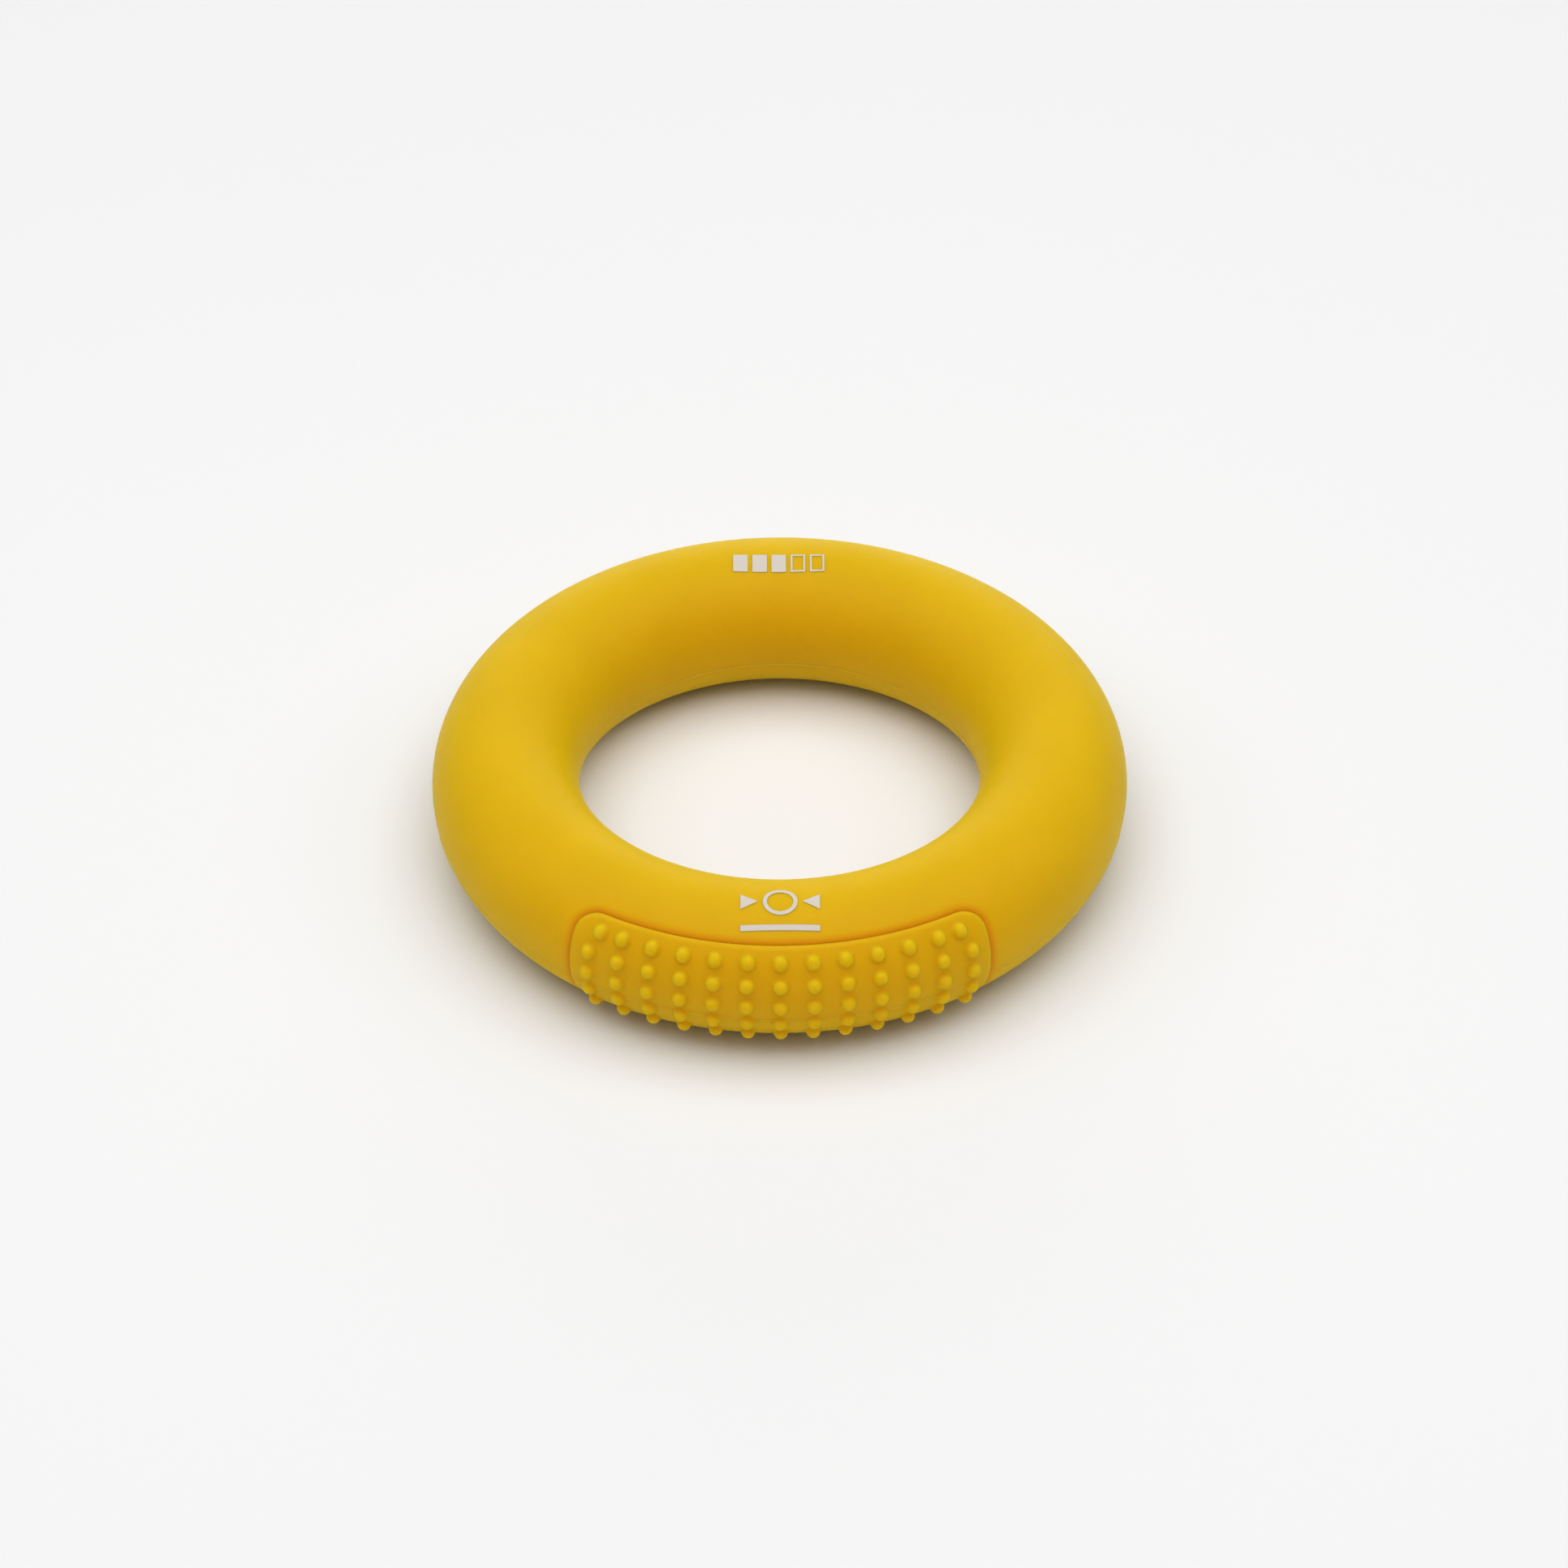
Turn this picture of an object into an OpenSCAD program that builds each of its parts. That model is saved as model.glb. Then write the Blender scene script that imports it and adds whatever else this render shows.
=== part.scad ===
// Hand grip ring: a solid silicone ring that is squeezed in the palm to train the grip.
// It lies flat on the plane z = 0, its axis is +Z through the origin, and the studded grip
// pad faces -Y. Ring angles run anticlockwise from -Y, seen from above. Tube angles run
// upwards from the tube's outermost line: 90 is the top, 180 is the inner wall.

/* [Ring] */
// Outer diameter of the ring
ring_od = 88; // [84:1:96]
// Diameter of the tube that the ring is made of
tube_d = 18.6; // [17:0.2:20]

/* [Grip pad] */
// Half of the angle that the pad takes up round the ring
pad_half_span = 35.8; // [34:0.2:40]
// Half of the angle that the pad takes up round the tube
pad_half_wrap = 49; // [46:1:52]
// Radius of the pad's corners
pad_corner_r = 3.2; // [2.6:0.1:5]
// How far the pad stands proud of the tube
pad_rise = 0.12; // [0.05:0.01:0.3]
// How deep the pad is set into the tube
pad_depth = 1.2; // [0.8:0.1:2]
// Width of the groove round the pad
groove_w = 0.8; // [0.4:0.1:1.2]
// Depth of the groove round the pad
groove_depth = 0.25; // [0.1:0.05:0.4]

/* [Nubs] */
// Number of nubs in each row
nub_count = 13; // [5:2:13]
// Angle between neighbouring nubs round the ring
nub_pitch = 5.34; // [4.5:0.01:5.4]
// Angle between neighbouring rows round the tube
nub_row_pitch = 17.5; // [14:0.5:18]
// Diameter of a nub
nub_d = 1.9; // [1.4:0.1:2.2]
// Height of a nub above the pad
nub_h = 1.03; // [0.7:0.01:1.3]
// Angle by which the end nubs of the top row are pulled in from the corners
nub_corner_pull = 1.3; // [0:0.1:2]

/* [Parting line] */
// Height of the mould's parting line above the resting plane
parting_z = 6.9; // [6:0.1:8]
// Height and half width of the fine ridge that the mould leaves there
flash_r = 0.14; // [0.08:0.01:0.2]

/* [Level mark] */
// Width of the row of blocks printed on the far side
level_w = 11.9; // [8:0.1:14]
// Height of each block
level_h = 2.9; // [2:0.1:4]
// Number of blocks
level_count = 5; // [3:1:6]
// Number of blocks that are filled in
level_filled = 3; // [1:1:3]

/* [Squeeze mark] */
// Full width of the sign printed above the pad
sign_w = 9.6; // [8.6:0.1:11]
// Outer diameter of the ring in the middle of the sign
sign_ring_d = 4.2; // [3:0.1:4.4]
// Height of the bar under the sign
sign_bar_h = 0.7; // [0.4:0.1:1]

/* [Printed ink] */
// Thickness of the ink
ink_t = 0.08; // [0.05:0.01:0.15]
// Width of a printed line
line_w = 0.5; // [0.4:0.05:0.7]

/* [Hidden] */

// Facets a turn: on the ring and tube, on a nub, and on the fine ridge
$fn = 360;
nub_fn = 96;
flash_fn = 720;

tube_r = tube_d / 2;
mid_r = ring_od / 2 - tube_r;
pad_r = tube_r + pad_rise;

// Tools that cut outwards reach this far past the tube
clearance = 1;
// How far a corner's round laps over the edges that it joins
round_lap = 0.03;
// Tube angles at the centres of the two printed marks
level_tube_angle = 103.5;
sign_tube_angle = 80.5;
// Where the squeeze sign and its bar sit along the tube, from the mark's centre
sign_up = 0.9;
bar_down = 2.85;
// Gap between printed shapes
ink_gap = 0.6;
// How far a print's stencil reaches each way through the surface
stencil_reach = 2;

silicone = [0.87, 0.72, 0.10];
pad_silicone = [0.84, 0.62, 0.05];
nub_silicone = [0.85, 0.76, 0.12];
ink = [0.87, 0.84, 0.80];

function arc_degrees(length, radius) = length / radius * 180 / PI;

// Tube angle of the parting plane on a tube of radius r
function parting_angle(r) = asin((parting_z - tube_r) / r);

// Sweeps a tube section round the ring, from one ring angle to another. The section's +X
// points outwards, and its origin is the tube's centre.
module sweep(from, to) {
    translate([0, 0, tube_r])
        rotate([0, 0, from - 90])
            rotate_extrude(angle = to - from)
                translate([mid_r, 0])
                    children();
}

// A whole torus whose tube has radius r
module torus(r) {
    translate([0, 0, tube_r])
        rotate_extrude()
            translate([mid_r, 0])
                circle(r);
}

// Puts a child on a tube of radius r: its +Z is the surface normal, its +X runs round the
// ring and its +Y up the tube
module on_tube(ring_angle, tube_angle, r) {
    rotate([0, 0, ring_angle])
        translate([0, -mid_r, tube_r])
            rotate([90 - tube_angle, 0, 0])
                translate([0, 0, r])
                    children();
}

// The outer part of the tube's section between two radii
module section_band(half_wrap, r_in, r_out) {
    reach = 2 * r_out;
    difference() {
        intersection() {
            circle(r_out);
            polygon([
                [0, 0],
                reach * [cos(half_wrap), -sin(half_wrap)],
                [reach, 0],
                reach * [cos(half_wrap), sin(half_wrap)]
            ]);
        }
        circle(r_in);
    }
}

// Everything beyond a round of radius r at one corner of the pad's outline. The edge along
// the ring is bowed, so the round is moved by its bow and meets it without a step. It laps
// a little over both edges, because it can't be exactly tangent to them.
module corner_cutter(end, side, span, wrap, r) {
    bow = r * r * sin(wrap) / (2 * (mid_r + tube_r * cos(wrap)));
    reach = 3 * r;
    on_tube(end * span, side * wrap, tube_r)
        translate([-end * (r - round_lap), -side * (r - bow - round_lap), -tube_r / 2])
            difference() {
                translate([end > 0 ? 0 : -reach, side > 0 ? 0 : -reach, 0])
                    cube([reach, reach, tube_r]);
                translate([0, 0, -clearance])
                    cylinder(r = r, h = tube_r + 2 * clearance);
            }
}

// The pad's outline, grown sideways, as a plug between two radii of the tube
module pad_plug(grow, r_in, r_out) {
    span = pad_half_span + arc_degrees(grow, ring_od / 2);
    wrap = pad_half_wrap + arc_degrees(grow, tube_r);
    difference() {
        sweep(-span, span)
            section_band(wrap, r_in, r_out);
        for (end = [-1, 1], side = [-1, 1])
            corner_cutter(end, side, span, wrap, pad_corner_r + grow);
    }
}

// The solid ring, with a pocket for the pad and the groove round it
module ring_body() {
    color(silicone)
        difference() {
            torus(tube_r);
            pad_plug(0, tube_r - pad_depth, tube_r + clearance);
            pad_plug(groove_w, tube_r - groove_depth, tube_r + clearance);
        }
}

// The pad that the fingers pull on
module grip_pad() {
    color(pad_silicone)
        pad_plug(0, tube_r - pad_depth, pad_r);
}

// A domed peg that starts below the pad's surface
module nub() {
    dome_r = nub_d / 2;
    root = clearance / 2;
    translate([0, 0, nub_h - dome_r])
        sphere(dome_r, $fn = nub_fn);
    translate([0, 0, -root])
        cylinder(d = nub_d, h = nub_h - dome_r + root, $fn = nub_fn);
}

// One of the five rows of nubs, cut off along the pad's surface. Rows are numbered from the
// top, and the third runs along the outermost line.
module nub_row(row) {
    last = (nub_count - 1) / 2;
    middle_row = 3;
    tube_angle = (middle_row - row) * nub_row_pitch;
    pull = row == 1 ? nub_corner_pull : 0;
    color(nub_silicone)
        difference() {
            for (i = [-last:last])
                on_tube(i * nub_pitch - (abs(i) == last ? sign(i) * pull : 0), tube_angle, pad_r)
                    nub();
            sweep(-pad_half_span, pad_half_span)
                circle(pad_r);
        }
}

// The section of the fine ridge on a tube of radius r, outside or inside the ring
module flash_section(r, inside = false) {
    tube_angle = parting_angle(r);
    difference() {
        rotate(inside ? 180 - tube_angle : tube_angle)
            translate([r, 0])
                circle(flash_r, $fn = 4);
        circle(r);
    }
}

module parting_line_outer() {
    start = pad_half_span + arc_degrees(groove_w, ring_od / 2);
    color(silicone)
        sweep(start, 360 - start, $fn = flash_fn)
            flash_section(tube_r);
}

// The ridge across the pad, broken by the nubs that stand on it
module parting_line_pad() {
    color(pad_silicone)
        difference() {
            sweep(-pad_half_span, pad_half_span, $fn = flash_fn)
                flash_section(pad_r);
            nub_row(4);
        }
}

module parting_line_inner() {
    color(silicone)
        sweep(0, 360, $fn = flash_fn)
            flash_section(tube_r, inside = true);
}

// Prints a flat stencil on the tube as a thin layer of ink
module print_on_tube(ring_angle, tube_angle) {
    color(ink)
        intersection() {
            on_tube(ring_angle, tube_angle, tube_r - stencil_reach)
                linear_extrude(2 * stencil_reach)
                    children();
            difference() {
                torus(tube_r + ink_t);
                torus(tube_r);
            }
        }
}

// A row of blocks whose filled ones show the ring's resistance. It is read from the front,
// so on the far side its first block lies towards the stencil's +X.
module level_mark() {
    block_w = (level_w - (level_count - 1) * ink_gap) / level_count;
    print_on_tube(180, level_tube_angle)
        for (i = [0:level_count - 1])
            translate([(level_w - block_w) / 2 - i * (block_w + ink_gap), 0])
                difference() {
                    square([block_w, level_h], center = true);
                    if (i >= level_filled)
                        square([block_w - line_w, level_h - line_w], center = true);
                }
}

// A ring between two arrowheads that point inwards, over a bar
module squeeze_mark() {
    tip_x = sign_ring_d / 2 + ink_gap;
    arrow_half_h = 1.2;
    print_on_tube(0, sign_tube_angle) {
        translate([0, sign_up]) {
            difference() {
                circle(d = sign_ring_d);
                circle(d = sign_ring_d - 2 * line_w);
            }
            for (side = [-1, 1])
                polygon([
                    [side * tip_x, 0],
                    [side * sign_w / 2, arrow_half_h],
                    [side * sign_w / 2, -arrow_half_h]
                ]);
        }
        translate([0, -bar_down])
            square([sign_w, sign_bar_h], center = true);
    }
}

ring_body();
grip_pad();
nub_row(1);  // grip_nubs_row_1
nub_row(2);  // grip_nubs_row_2
nub_row(3);  // grip_nubs_row_3
nub_row(4);  // grip_nubs_row_4
nub_row(5);  // grip_nubs_row_5
parting_line_outer();
parting_line_pad();
parting_line_inner();
level_mark();
squeeze_mark();
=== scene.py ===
"""The looks of a silicone hand grip ring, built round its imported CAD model.

Ring angles run anticlockwise from -Y, seen from above, and tube angles run upwards from the
tube's outermost line, as in the CAD source. Lengths are in metres and angles in radians.
"""

import math

import bpy
import numpy as np
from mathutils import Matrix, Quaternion, Vector


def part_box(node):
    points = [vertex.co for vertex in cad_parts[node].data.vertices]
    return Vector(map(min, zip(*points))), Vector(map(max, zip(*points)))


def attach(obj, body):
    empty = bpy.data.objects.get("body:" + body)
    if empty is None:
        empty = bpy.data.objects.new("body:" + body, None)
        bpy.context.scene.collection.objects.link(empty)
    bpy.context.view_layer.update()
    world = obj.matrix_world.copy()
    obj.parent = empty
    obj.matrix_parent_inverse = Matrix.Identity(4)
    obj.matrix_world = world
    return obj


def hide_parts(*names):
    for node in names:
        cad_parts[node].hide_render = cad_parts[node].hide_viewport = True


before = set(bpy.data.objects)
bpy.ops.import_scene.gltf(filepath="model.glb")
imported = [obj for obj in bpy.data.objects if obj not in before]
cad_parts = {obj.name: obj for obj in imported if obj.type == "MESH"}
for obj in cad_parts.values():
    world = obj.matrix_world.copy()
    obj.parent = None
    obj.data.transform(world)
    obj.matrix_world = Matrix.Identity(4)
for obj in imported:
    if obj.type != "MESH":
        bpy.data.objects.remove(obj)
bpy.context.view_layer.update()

MM = 0.001

# ---- The ring, from the frame ----
_, ring_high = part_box("ring_body")
pad_low, pad_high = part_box("grip_pad")
seam_low, seam_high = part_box("parting_line_inner")

TUBE_R = ring_high.z / 2
MID_R = ring_high.x - TUBE_R
PAD_R = -pad_low.y - MID_R
PAD_SPAN = math.asin(pad_high.x / (MID_R + PAD_R))
PAD_WRAP = math.asin((pad_high.z - TUBE_R) / PAD_R)
SEAM_Z = (seam_low.z + seam_high.z) / 2
NUB_ROWS = [f"grip_nubs_row_{number}" for number in range(1, 6)]

# ---- The pad's rounded edge, the wall below it, and the pad's own underside ----
PAD_CORNER_R = 3.2 * MM
EDGE_W = 0.72 * MM
EDGE_DROP = 0.33 * MM
WALL_DROP = 0.924 * MM
UNDERSIDE_DEPTH = 4 * MM
EDGE_STEPS = 6

# ---- The groove round the pad, and how far the ring's skin lies below the pad ----
GROOVE_W = 1.3 * MM
GROOVE_DEPTH = 0.21 * MM
UNDER_PAD = 0.7 * MM

# ---- The skin's mesh: steps near the pad's edges, and elsewhere ----
RING_FINE = 0.22 * MM
RING_COARSE = math.radians(1.5)
TUBE_FINE = 0.2 * MM
TUBE_COARSE = math.radians(3.6)

# ---- The nubs' shape: a dome whose flank runs into a fillet at that angle ----
DOME_R = 0.87 * MM
FILLET_R = 0.42 * MM
FLANK = math.radians(76)
DOME_STEPS = 9
FILLET_STEPS = 5
OUTER_ROW_STRETCH = 0.12
# Where the mesh's rings lie between a nub's foot and the rim of its cell
EASE_SHARES = (0.3, 0.65)

# ---- The parting line ----
RIDGE_H = 0.09 * MM
RIDGE_W = 0.11 * MM
RIDGE_STEP = math.radians(0.75)

# ---- The camera ----
VIEW_ELEVATION = math.radians(39.4)
VIEW_DISTANCE = 15.12 * ring_high.x
LENS = 120.4
SENSOR = 36
AIM_RIGHT = 0.55 * MM
AIM_UP = -1.16 * MM
ROLL = math.radians(-0.2)


def tube_point(ring_angle, tube_angle, radius):
    """Points on a tube of that radius round the ring's centre line."""
    reach = MID_R + radius * np.cos(tube_angle)
    height = TUBE_R + radius * np.sin(tube_angle)
    across = reach * np.sin(ring_angle)
    along = -reach * np.cos(ring_angle)
    return np.stack(np.broadcast_arrays(across, along, height), axis=-1)


def smooth(t):
    """Eases from 0 to 1 with a level start and end."""
    t = np.clip(t, 0, 1)
    return t * t * (3 - 2 * t)


def make_piece(name, points, faces, replaced, material):
    """A smooth-shaded mesh that rides on the root and stands for CAD nodes."""
    mesh = bpy.data.meshes.new(name)
    mesh.from_pydata([tuple(p) for p in points], [], faces)
    mesh.shade_smooth()
    mesh.materials.append(material)
    piece = bpy.data.objects.new(name, mesh)
    bpy.context.scene.collection.objects.link(piece)
    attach(piece, "root")
    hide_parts(*replaced)
    return piece


def set_values(piece, name, values):
    """Stores a number at every vertex, for the material to read."""
    piece.data.attributes.new(name, "FLOAT", "POINT").data.foreach_set("value", values)


# ---- Pad outline: a rounded rectangle in unrolled lengths ----
OUTLINE_REACH = MID_R + TUBE_R * math.cos(PAD_WRAP)


def outline_offset(ring_angle, tube_angle):
    """Distance outside the pad's outline on the tube, negative inside it."""
    u = np.abs(ring_angle) * OUTLINE_REACH - (PAD_SPAN * OUTLINE_REACH - PAD_CORNER_R)
    v = np.abs(tube_angle) * TUBE_R - (PAD_WRAP * TUBE_R - PAD_CORNER_R)
    outside = np.hypot(np.maximum(u, 0), np.maximum(v, 0))
    return outside + np.minimum(np.maximum(u, v), 0) - PAD_CORNER_R


def groove_depth(offset):
    """How far the ring's skin lies below the tube at that distance outside the pad."""
    slope = GROOVE_DEPTH * (1 - np.clip(offset / GROOVE_W, 0, 1)) ** 2
    under = (UNDER_PAD - GROOVE_DEPTH) * (1 - smooth((offset + EDGE_W) / EDGE_W))
    return slope + under


def spaced(start, stop, step):
    """Values from start up to stop, about a step apart, without stop itself."""
    count = max(1, round((stop - start) / step))
    return [start + (stop - start) * i / count for i in range(count)]


def skin_lines(pad_half, radius, fine, coarse):
    """Angles all the way round, close together at the pad's two edges.

    The fine step is a length at that radius, and the coarse one an angle.
    """
    inner = pad_half - (PAD_CORNER_R + EDGE_W) / radius
    outer = pad_half + 1.1 * GROOVE_W / radius
    step = fine / radius
    lines = spaced(-outer, -inner, step) + spaced(-inner, inner, coarse) + spaced(inner, outer, step)
    return np.array(lines + spaced(outer, 2 * math.pi - outer, coarse))


def make_ring_skin(material):
    """The ring's whole skin, which dips into the groove and runs on below the pad."""
    ring_lines = skin_lines(PAD_SPAN, OUTLINE_REACH, RING_FINE, RING_COARSE)
    tube_lines = skin_lines(PAD_WRAP, TUBE_R, TUBE_FINE, TUBE_COARSE)
    ring_angle, tube_angle = np.meshgrid(ring_lines, tube_lines, indexing="ij")
    from_front = np.arctan2(np.sin(ring_angle), np.cos(ring_angle))
    from_side = np.arctan2(np.sin(tube_angle), np.cos(tube_angle))
    depth = groove_depth(outline_offset(from_front, from_side))
    points = tube_point(ring_angle, tube_angle, TUBE_R - depth)
    sections, lines = ring_angle.shape
    index = np.arange(sections * lines).reshape(sections, lines)
    after = np.roll(index, -1, axis=0)
    above = np.roll(index, -1, axis=1)
    corner = np.roll(after, -1, axis=1)
    faces = np.stack([index, after, corner, above], axis=-1).reshape(-1, 4)
    piece = make_piece(
        "ring_skin", points.reshape(-1, 3), faces.tolist(), ["ring_body"], material
    )
    set_values(piece, "dip", depth.ravel())
    return piece


# ---- The pad, with its nubs ----
def nub_places(node):
    """Ring and tube angle of every nub in a CAD row, from left to right."""
    points = np.array([v.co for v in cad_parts[node].data.vertices])
    ring_angle = np.arctan2(points[:, 0], -points[:, 1])
    out = np.hypot(points[:, 0], points[:, 1]) - MID_R
    tube_angle = np.arctan2(points[:, 2] - TUBE_R, out)
    order = np.argsort(ring_angle)
    gaps = np.nonzero(np.diff(ring_angle[order]) > DOME_R / 2 / MID_R)[0] + 1
    return [
        ((ring_angle[nub].min() + ring_angle[nub].max()) / 2,
         (tube_angle[nub].min() + tube_angle[nub].max()) / 2)
        for nub in np.split(order, gaps)
    ]


def nub_profile():
    """(distance from the axis, height) from a nub's tip to where it meets the pad."""
    top = (DOME_R + FILLET_R) * (1 - math.cos(FLANK))
    foot = (DOME_R + FILLET_R) * math.sin(FLANK)
    dome = [FLANK * i / DOME_STEPS for i in range(1, DOME_STEPS + 1)]
    fillet = [FLANK * (1 - i / FILLET_STEPS) for i in range(1, FILLET_STEPS + 1)]
    profile = [(DOME_R * math.sin(a), top - DOME_R * (1 - math.cos(a))) for a in dome]
    profile += [(foot - FILLET_R * math.sin(a), FILLET_R * (1 - math.cos(a))) for a in fillet]
    return top, profile


class PadMesh:
    """Builds the pad from a lattice with one cell to a nub, so that every nub is round."""

    STEPS = 8  # lattice steps across a cell

    def __init__(self):
        self.rows = [nub_places(node) for node in NUB_ROWS]
        self.points = []
        self.lifts = []
        self.dips = []
        self.faces = []
        self.lattice = {}
        self.corner_r = PAD_CORNER_R - EDGE_W
        self.span = PAD_SPAN - EDGE_W / OUTLINE_REACH
        self.wrap = PAD_WRAP - EDGE_W / PAD_R
        self.row_angles = [float(np.mean([tube for _, tube in row])) for row in self.rows]
        self.tube_angles = self.make_tube_angles()
        self.columns = len(self.rows[0]) * self.STEPS
        self.bands = len(self.tube_angles) - 1

    def make_tube_angles(self):
        """Tube angles of the lattice's lines, from the bottom up."""
        pitch = self.row_angles[0] - self.row_angles[1]
        top = self.row_angles[0] + pitch / 2
        count = len(self.rows) * self.STEPS
        nub_band = [top * (2 * i / count - 1) for i in range(count + 1)]
        corner = self.corner_r / PAD_R
        start = math.asin((top - self.wrap + corner) / corner)
        turns = [start + (math.pi / 2 - start) * i / self.STEPS for i in range(1, self.STEPS + 1)]
        margin = [self.wrap - corner + corner * math.sin(turn) for turn in turns]
        return [-angle for angle in reversed(margin)] + nub_band + margin

    def edge(self, tube_angle):
        """The lattice's half span at that tube angle, drawn in round the corners."""
        past = (abs(tube_angle) - self.wrap) * PAD_R + self.corner_r
        drawn_in = self.corner_r - math.sqrt(max(self.corner_r**2 - max(past, 0) ** 2, 0))
        return self.span - drawn_in / OUTLINE_REACH

    def cell_line(self, number, tube_angle):
        """Ring angle of the line between two columns of nubs."""
        if number == 0:
            return -self.edge(tube_angle)
        if number == len(self.rows[0]):
            return self.edge(tube_angle)
        inner, outer = self.row_angles[1], self.row_angles[0]
        share = min(max((abs(tube_angle) - inner) / (outer - inner), 0), 1)
        middle = [(row[number - 1][0] + row[number][0]) / 2 for row in self.rows]
        return middle[1] * (1 - share) + middle[0] * share

    def angles_at(self, i, j):
        """Ring and tube angle of a lattice point."""
        tube_angle = self.tube_angles[j]
        number = min(i // self.STEPS, len(self.rows[0]) - 1)
        left = self.cell_line(number, tube_angle)
        right = self.cell_line(number + 1, tube_angle)
        share = i / self.STEPS - number
        return left + (right - left) * share, tube_angle

    def add(self, ring_angle, tube_angle, radius):
        """Adds a point, and how far it stands above the pad or lies below the tube."""
        self.points.append(tube_point(ring_angle, tube_angle, radius))
        self.lifts.append(max(radius - PAD_R, 0))
        self.dips.append(max(TUBE_R - radius, 0))
        return len(self.points) - 1

    def at(self, i, j):
        """Index of a lattice point, made when it is first asked for."""
        if (i, j) not in self.lattice:
            self.lattice[i, j] = self.add(*self.angles_at(i, j), PAD_R)
        return self.lattice[i, j]

    def add_plain_cell(self, column, band):
        for i in range(column, column + self.STEPS):
            for j in range(band, band + self.STEPS):
                self.faces.append(
                    (self.at(i, j), self.at(i + 1, j), self.at(i + 1, j + 1), self.at(i, j + 1))
                )

    def cell_rim(self, column, band):
        """Lattice points round a cell, anticlockwise from its lower left corner."""
        steps = range(self.STEPS)
        right, top = column + self.STEPS, band + self.STEPS
        rim = [(column + s, band) for s in steps] + [(right, band + s) for s in steps]
        return rim + [(right - s, top) for s in steps] + [(column, top - s) for s in steps]

    def add_nub_cell(self, column, band, place, stretch):
        """A nub in the middle of its cell, as rings that ease out to the cell's rim."""
        ring_angle, tube_angle = place
        reach = MID_R + PAD_R * math.cos(tube_angle)
        top, profile = nub_profile()
        rim = self.cell_rim(column, band)
        rim_angles = [self.angles_at(*point) for point in rim]
        across = [((a - ring_angle) * reach, (b - tube_angle) * PAD_R) for a, b in rim_angles]
        turns = [math.atan2(v, u) for u, v in across]
        loops = []
        for distance, height in profile:
            loop = []
            for turn in turns:
                lift = max(math.sin(turn) * math.copysign(1, tube_angle), 0)
                away = distance * (1 + stretch * lift**2)
                loop.append((away * math.cos(turn), away * math.sin(turn), height))
            loops.append(loop)
        foot = loops[-1]
        for share in EASE_SHARES:
            loops.append([
                (f[0] + (a[0] - f[0]) * share, f[1] + (a[1] - f[1]) * share, 0)
                for f, a in zip(foot, across)
            ])
        rings = [
            [self.add(ring_angle + u / reach, tube_angle + v / PAD_R, PAD_R + h) for u, v, h in loop]
            for loop in loops
        ]
        rings.append([self.at(*point) for point in rim])
        tip = self.add(ring_angle, tube_angle, PAD_R + top)
        count = len(rim)
        for k in range(count):
            after = (k + 1) % count
            self.faces.append((tip, rings[0][k], rings[0][after]))
            for inner, outer in zip(rings, rings[1:]):
                self.faces.append((inner[k], outer[k], outer[after], inner[after]))

    def border(self):
        """Lattice points round the whole pad, anticlockwise."""
        right, top = self.columns, self.bands
        border = [(i, 0) for i in range(right)] + [(right, j) for j in range(top)]
        return border + [(right - i, top) for i in range(right)] + [(0, top - j) for j in range(top)]

    def outward(self, ring_angle, tube_angle):
        """Unit direction away from the pad at a point of its border, in unrolled lengths."""
        u = abs(ring_angle) * OUTLINE_REACH - (self.span * OUTLINE_REACH - self.corner_r)
        v = abs(tube_angle) * PAD_R - (self.wrap * PAD_R - self.corner_r)
        u, v = max(u, 0), max(v, 0)
        length = math.hypot(u, v)
        return math.copysign(u / length, ring_angle), math.copysign(v / length, tube_angle)

    def add_edge(self):
        """The rounded edge, the wall below it and a coarse underside, which close the pad."""
        border = self.border()
        angles = [self.angles_at(*point) for point in border]
        away = [self.outward(*pair) for pair in angles]
        loops = [[self.at(*point) for point in border]]
        turns = [math.pi / 2 * k / EDGE_STEPS for k in range(1, EDGE_STEPS + 1)]
        rounds = [(EDGE_W * math.sin(turn), EDGE_DROP * (1 - math.cos(turn))) for turn in turns]
        rounds.append((EDGE_W, WALL_DROP))
        for out, down in rounds:
            loops.append([
                self.add(a + out * u / OUTLINE_REACH, b + out * v / PAD_R, PAD_R - down)
                for (a, b), (u, v) in zip(angles, away)
            ])
        count = len(border)
        for upper, lower in zip(loops, loops[1:]):
            for k in range(count):
                after = (k + 1) % count
                self.faces.append((upper[k], lower[k], lower[after], upper[after]))
        self.add_underside(border, loops[-1])

    def add_underside(self, border, rim):
        """A coarse floor deep inside the ring, joined to every eighth point of the rim."""
        depth = PAD_R - UNDERSIDE_DEPTH
        floor = {}
        for i in range(0, self.columns + 1, self.STEPS):
            for j in range(0, self.bands + 1, self.STEPS):
                floor[i, j] = self.add(*self.angles_at(i, j), depth)
        for i, j in floor:
            right, top = i + self.STEPS, j + self.STEPS
            if (right, top) in floor:
                self.faces.append((floor[i, j], floor[i, top], floor[right, top], floor[right, j]))
        count = len(border)
        for k in range(0, count, self.STEPS):
            wall = [rim[(k + s) % count] for s in range(self.STEPS + 1)]
            start, end = floor[border[k]], floor[border[(k + self.STEPS) % count]]
            self.faces.append(tuple(reversed(wall)) + (start, end))

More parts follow.
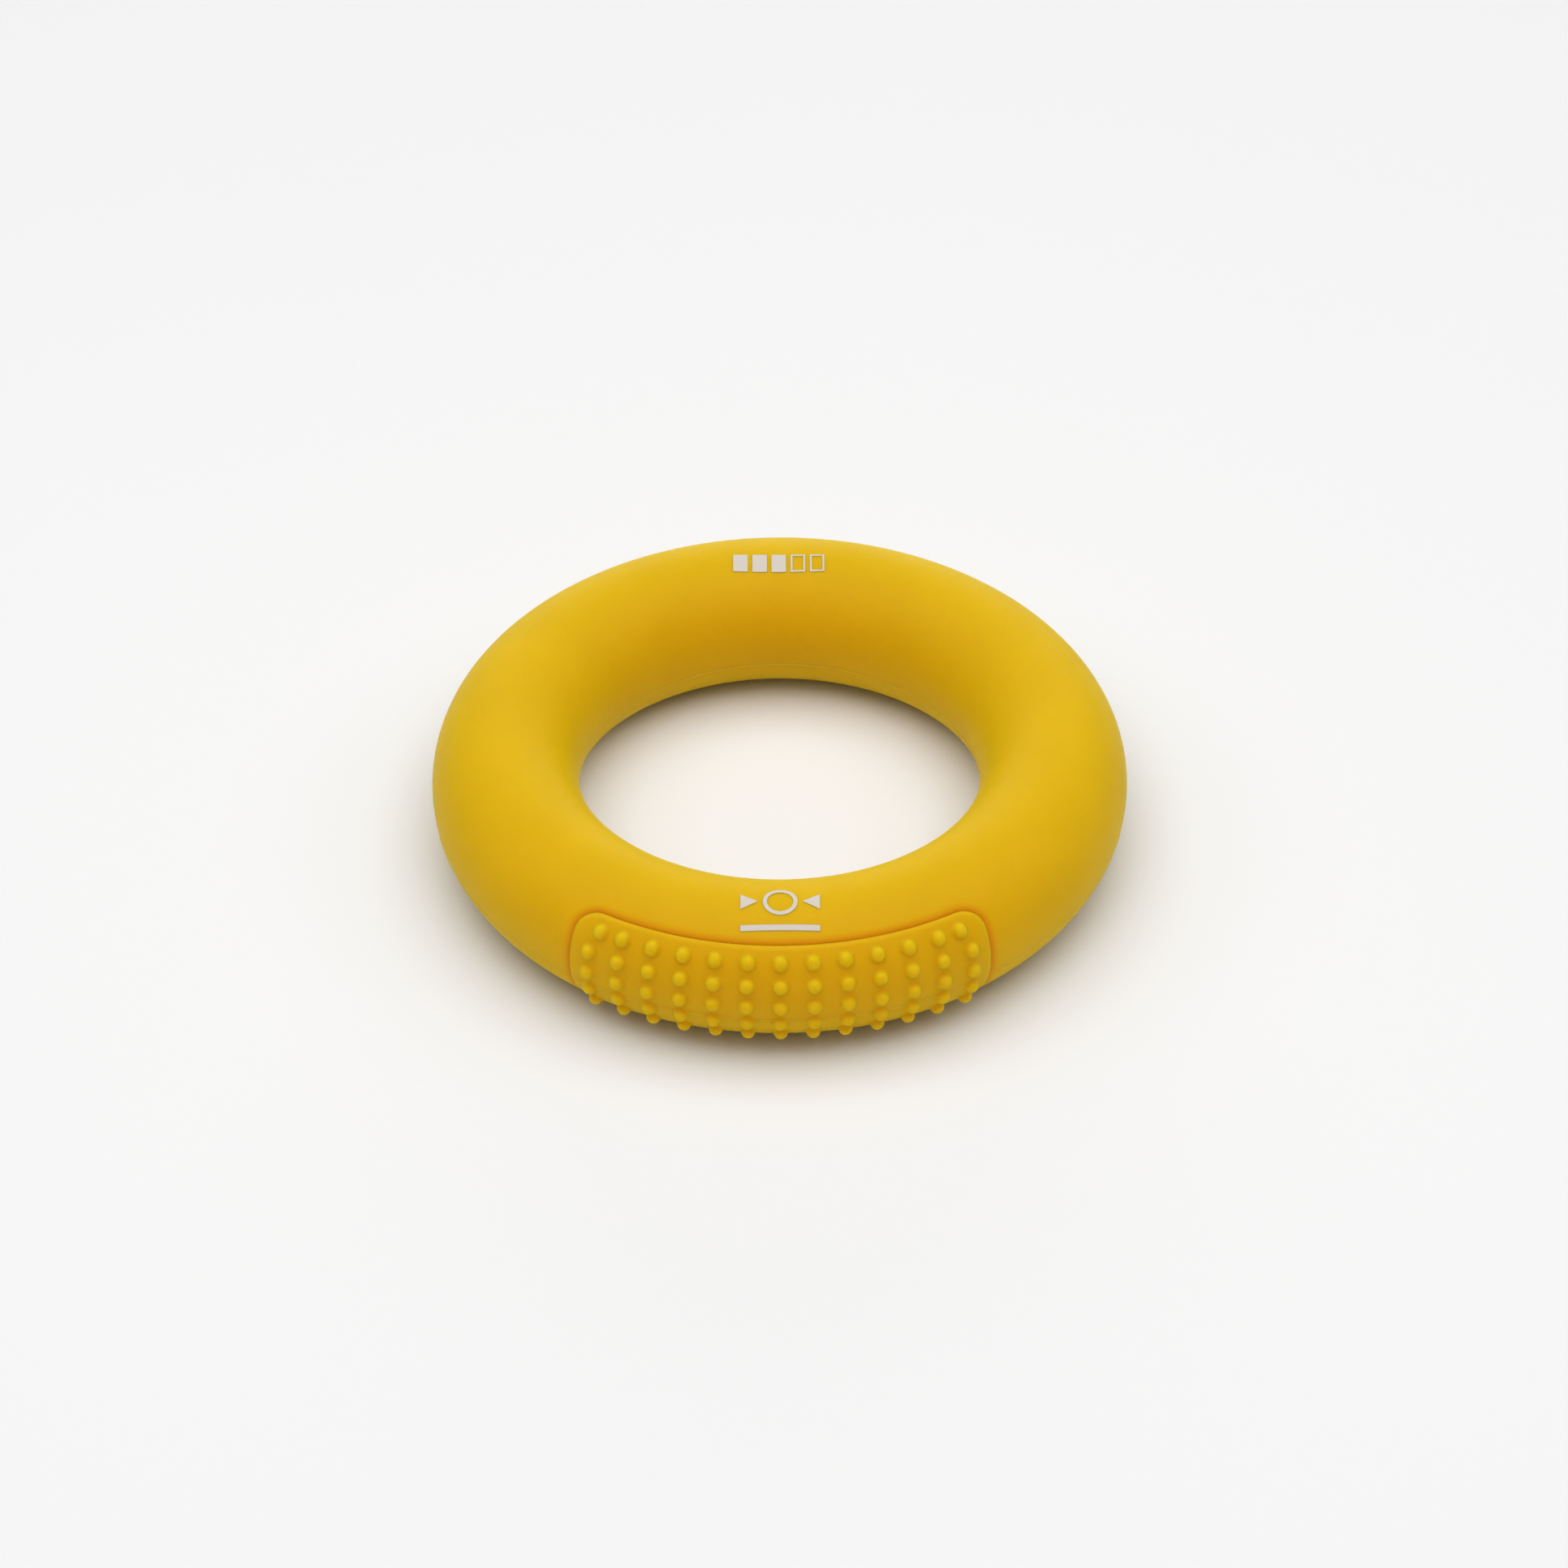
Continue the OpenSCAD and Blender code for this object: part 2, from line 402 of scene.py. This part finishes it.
    def build(self, material):
        for column in range(0, self.columns, self.STEPS):
            number = column // self.STEPS
            for band in range(0, self.bands, self.STEPS):
                row = len(self.rows) - band // self.STEPS
                if 0 <= row < len(self.rows):
                    stretch = OUTER_ROW_STRETCH if row in (0, len(self.rows) - 1) else 0
                    self.add_nub_cell(column, band, self.rows[row][number], stretch)
                else:
                    self.add_plain_cell(column, band)
        self.add_edge()
        replaced = ["grip_pad"] + NUB_ROWS
        piece = make_piece("pad_skin", self.points, self.faces, replaced, material)
        set_values(piece, "lift", self.lifts)
        set_values(piece, "dip", self.dips)
        return piece


# ---- The parting line's ridges ----
def ridge_height(ring_angle):
    """The ridge's height, which wanders as the flash on a moulding does."""
    wander = 0.25 * math.sin(23 * ring_angle + 1) + 0.2 * math.sin(61 * ring_angle + 2)
    return RIDGE_H * (0.75 + wander)


def make_ridge(name, radius, start, end, inside, replaced, material):
    """A fine ridge along the parting plane, on a tube of that radius."""
    seam_angle = math.asin((SEAM_Z - TUBE_R) / radius)
    middle = math.pi - seam_angle if inside else seam_angle
    count = math.ceil((end - start) / RIDGE_STEP)
    closed = end - start > 2 * math.pi - 0.001
    sections = count if closed else count + 1
    points = []
    for i in range(sections):
        ring_angle = start + (end - start) * i / count
        height = ridge_height(ring_angle)
        section = [
            (-1, -RIDGE_W),
            (-0.55, 0.4 * height),
            (0, height),
            (0.55, 0.4 * height),
            (1, -RIDGE_W),
        ]
        for across, up in section:
            tube_angle = middle + across * RIDGE_W / radius
            points.append(tube_point(ring_angle, tube_angle, radius + up))
    width = len(section)
    faces = []
    for i in range(count):
        here, there = i * width, (i + 1) % sections * width
        for k in range(width):
            after = (k + 1) % width
            faces.append((here + k, there + k, there + after, here + after))
    if not closed:
        faces.append(tuple(range(width)))
        faces.append(tuple(reversed(range(len(points) - width, len(points)))))
    return make_piece(name, points, faces, [replaced], material)


def make_ridges(material):
    edge = PAD_SPAN + 0.9 * GROOVE_W / (MID_R + TUBE_R)
    pad_edge = PAD_SPAN - 1.1 * EDGE_W / (MID_R + PAD_R)
    around = 2 * math.pi
    return [
        make_ridge("ridge_outer", TUBE_R, edge, around - edge, False, "parting_line_outer", material),
        make_ridge("ridge_inner", TUBE_R, 0, around, True, "parting_line_inner", material),
        make_ridge("ridge_pad", PAD_R, -pad_edge, pad_edge, False, "parting_line_pad", material),
    ]


# ---- Colours, in linear light ----
YELLOW = (0.585, 0.402, 0.001)
PALE_YELLOW = (0.615, 0.424, 0.002)
# Painted shade: a deeper orange for the skin where it dips below the tube, as in the groove round the
# pad.
PAINTED_CREASE_SHADE = (0.600, 0.285, 0.001)
# Painted light: a paler, greener yellow for the nubs' raised tips, standing in for the light they
# catch.
NUB_TIP_PAINTED_LIGHT = (0.560, 0.440, 0.003)
# Painted light: the parting ridges are paler than the silicone, standing in for the light they catch.
RIDGE_PAINTED_LIGHT = (0.62, 0.47, 0.020)
RIDGE_PAINTED_LIGHT_PALE = (0.68, 0.54, 0.050)
INK_WHITE = (0.63, 0.57, 0.50)
INK_THIN = (0.62, 0.52, 0.33)
FLOOR_GREY = (0.82, 0.82, 0.82)
FLOOR_PALE = (0.84, 0.84, 0.84)
WHITE = (1, 1, 1)
WARM = (1, 0.12, 0.02)
SILICONE_IOR = 1.41


# ---- Materials ----
class Look:
    """A small helper that adds nodes to a new material."""

    def __init__(self, name):
        self.material = bpy.data.materials.new(name)
        self.material.use_nodes = True
        self.tree = self.material.node_tree
        self.shader = self.tree.nodes["Principled BSDF"]
        self.coordinates = self.add("ShaderNodeTexCoord")

    def add(self, kind, **values):
        node = self.tree.nodes.new(kind)
        for key, value in values.items():
            setattr(node, key, value)
        return node

    def link(self, output, target):
        self.tree.links.new(output, target)

    def noise(self, scale, detail=2.0, roughness=0.5):
        node = self.add("ShaderNodeTexNoise")
        node.inputs["Scale"].default_value = scale
        node.inputs["Detail"].default_value = detail
        node.inputs["Roughness"].default_value = roughness
        self.link(self.coordinates.outputs["Object"], node.inputs["Vector"])
        return node.outputs["Fac"]

    def spread(self, value, low, high, to_low, to_high):
        """Maps a value's range from low..high to to_low..to_high."""
        node = self.add("ShaderNodeMapRange")
        for key, number in zip(("From Min", "From Max", "To Min", "To Max"),
                               (low, high, to_low, to_high)):
            node.inputs[key].default_value = number
        self.link(value, node.inputs["Value"])
        return node.outputs["Result"]

    def mix(self, share, first, second):
        node = self.add("ShaderNodeMix", data_type="RGBA")
        self.link(share, node.inputs["Factor"])
        for socket, colour in ((node.inputs[6], first), (node.inputs[7], second)):
            if isinstance(colour, tuple):
                socket.default_value = (*colour, 1)
            else:
                self.link(colour, socket)
        return node.outputs[2]

    def bump(self, layers):
        """Chains bump nodes: each layer is (height output, distance in metres, strength)."""
        normal = None
        for height, distance, strength in layers:
            node = self.add("ShaderNodeBump")
            node.inputs["Distance"].default_value = distance
            node.inputs["Strength"].default_value = strength
            self.link(height, node.inputs["Height"])
            if normal is not None:
                self.link(normal, node.inputs["Normal"])
            normal = node.outputs["Normal"]
        self.link(normal, self.shader.inputs["Normal"])


def silicone_look():
    """Matte yellow silicone, opaque but for a little light that soaks in and spreads, with painted
    shade in the groove round the pad and painted light on the nubs' tips.
    """
    look = Look("yellow_silicone")
    patches = look.spread(look.noise(90, 3), 0.3, 0.7, 0, 1)
    thick = look.mix(patches, YELLOW, PALE_YELLOW)
    # Painted shade: the skin turns deeper orange where it dips below the tube, in the groove round
    # the pad, standing in for the shade there.
    dip = look.add("ShaderNodeAttribute", attribute_name="dip")
    deep = look.spread(dip.outputs["Fac"], 0, 0.7 * GROOVE_DEPTH, 0, 1)
    skin = look.mix(deep, thick, PAINTED_CREASE_SHADE)
    # Painted light: the nubs turn paler towards their tips, standing in for the light the raised tips
    # catch.
    lift = look.add("ShaderNodeAttribute", attribute_name="lift")
    thin = look.spread(lift.outputs["Fac"], 0.10 * MM, 0.55 * MM, 0, 1)
    colour = look.mix(thin, skin, NUB_TIP_PAINTED_LIGHT)
    look.link(colour, look.shader.inputs["Base Color"])
    look.link(look.spread(look.noise(700, 3), 0.3, 0.7, 0.50, 0.60), look.shader.inputs["Roughness"])
    look.shader.inputs["IOR"].default_value = SILICONE_IOR
    look.shader.inputs["Specular IOR Level"].default_value = 0.12
    look.shader.inputs["Subsurface Weight"].default_value = 0.85
    look.shader.inputs["Subsurface Radius"].default_value = (1.0, 0.9, 0.4)
    look.shader.inputs["Subsurface Scale"].default_value = 1.4 * MM
    look.bump([
        (look.noise(260, 2), 0.04 * MM, 0.35),
        (look.noise(5200, 2, 0.6), 0.012 * MM, 0.5),
    ])
    return look.material


def ridge_look():
    """The same silicone along the parting line, where it is thin: painted paler, as painted light for
    the light the ridge catches, and rough from the join of the mould.
    """
    look = Look("ridge_silicone")
    # Painted light: the ridge is paler than the silicone, in random patches, standing in for the
    # light the ridge catches.
    patches = look.spread(look.noise(1400, 3), 0.35, 0.65, 0, 1)
    colour = look.mix(patches, RIDGE_PAINTED_LIGHT, RIDGE_PAINTED_LIGHT_PALE)
    look.link(colour, look.shader.inputs["Base Color"])
    look.link(look.spread(look.noise(2500, 2), 0.3, 0.7, 0.55, 0.7), look.shader.inputs["Roughness"])
    look.shader.inputs["IOR"].default_value = SILICONE_IOR
    look.shader.inputs["Specular IOR Level"].default_value = 0.15
    look.bump([(look.noise(6000, 2, 0.6), 0.01 * MM, 0.6)])
    return look.material


def ink_look():
    """Screen-printed silicone ink: warm white, a little uneven where it went on thin."""
    look = Look("printed_ink")
    thin = look.spread(look.noise(2600, 4, 0.65), 0.55, 0.8, 0, 0.5)
    cover = look.mix(thin, INK_WHITE, INK_THIN)
    look.link(cover, look.shader.inputs["Base Color"])
    look.link(look.spread(look.noise(1500, 3), 0.3, 0.7, 0.5, 0.65), look.shader.inputs["Roughness"])
    look.shader.inputs["Specular IOR Level"].default_value = 0.3
    look.bump([(look.noise(4200, 3, 0.6), 0.01 * MM, 0.5)])
    return look.material


def floor_look():
    look = Look("studio_floor")
    tone = look.mix(look.noise(3, 2), FLOOR_GREY, FLOOR_PALE)
    look.link(tone, look.shader.inputs["Base Color"])
    look.shader.inputs["Roughness"].default_value = 0.9
    look.shader.inputs["Specular IOR Level"].default_value = 0.1
    return look.material


# ---- Stage ----
def make_floor():
    half = 8.0
    mesh = bpy.data.meshes.new("studio_floor")
    mesh.from_pydata(
        [(-half, -half, 0), (half, -half, 0), (half, half, 0), (-half, half, 0)], [], [(0, 1, 2, 3)]
    )
    mesh.materials.append(floor_look())
    floor = bpy.data.objects.new("studio_floor", mesh)
    bpy.context.scene.collection.objects.link(floor)


def add_area_light(name, place, target, width, depth, power, colour):
    lamp = bpy.data.lights.new(name, "AREA")
    lamp.color = colour
    lamp.shape = "RECTANGLE"
    lamp.size = width
    lamp.size_y = depth
    lamp.energy = power
    holder = bpy.data.objects.new(name, lamp)
    holder.location = place
    holder.rotation_mode = "QUATERNION"
    holder.rotation_quaternion = (Vector(target) - Vector(place)).to_track_quat("-Z", "Y")
    bpy.context.scene.collection.objects.link(holder)
    return holder


def make_lights(ring_pieces):
    """Overhead, front and side softboxes, a low one behind, and weak warm fill from both ends.

    The fill reaches the silicone only, so that it doesn't tint the floor and the ink.
    """
    centre = (0, 0, TUBE_R)
    add_area_light("overhead_box", (0, 0, 0.8), centre, 1.0, 1.0, 5.6, WHITE)
    add_area_light("back_box", (0, 0.9, 0.2), centre, 0.8, 0.3, 1.7, WHITE)
    add_area_light("front_box", (0, -0.4, 0.75), centre, 0.8, 0.5, 0.9, WHITE)
    silicone_pieces = bpy.data.collections.new("silicone_pieces")
    for piece in ring_pieces:
        silicone_pieces.objects.link(piece)
    fills = [
        ("low_fill", (0, -0.8, 0.22), 0.7),
        ("high_fill", (0, -0.5, 0.45), 1.1),
        ("back_fill", (0, 0.8, 0.15), 0.8),
    ]
    for name, place, power in fills:
        fill = add_area_light(name, place, centre, 1.0, 0.3, power, WARM)
        fill.light_linking.receiver_collection = silicone_pieces
    for side in (-1, 1):
        add_area_light("side_box", (side * 0.6, 0, 0.6), centre, 0.5, 0.5, 0.9, WHITE)
    world = bpy.data.worlds.new("studio")
    world.use_nodes = True
    background = world.node_tree.nodes["Background"]
    background.inputs["Color"].default_value = (1, 1, 1, 1)
    background.inputs["Strength"].default_value = 0.25
    bpy.context.scene.world = world


def make_camera():
    lens = bpy.data.cameras.new("camera")
    lens.sensor_width = SENSOR
    lens.lens = LENS
    camera = bpy.data.objects.new("camera", lens)
    back = Vector((0, -math.cos(VIEW_ELEVATION), math.sin(VIEW_ELEVATION)))
    right = Vector((1, 0, 0))
    up = back.cross(right)
    centre = Vector((0, 0, TUBE_R))
    camera.location = centre + back * VIEW_DISTANCE
    aim = centre + right * AIM_RIGHT + up * AIM_UP
    look = (aim - camera.location).to_track_quat("-Z", "Y")
    camera.rotation_mode = "QUATERNION"
    camera.rotation_quaternion = look @ Quaternion((0, 0, 1), ROLL)
    lens.clip_start = 0.01
    lens.clip_end = 10
    bpy.context.scene.collection.objects.link(camera)
    bpy.context.scene.camera = camera


make_camera()
silicone = silicone_look()
ink = ink_look()
pieces = [make_ring_skin(silicone), PadMesh().build(silicone), *make_ridges(ridge_look())]
for node in ("level_mark", "squeeze_mark"):
    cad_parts[node].data.materials[0] = ink
make_floor()
make_lights(pieces)
bpy.context.scene.view_settings.view_transform = "Standard"
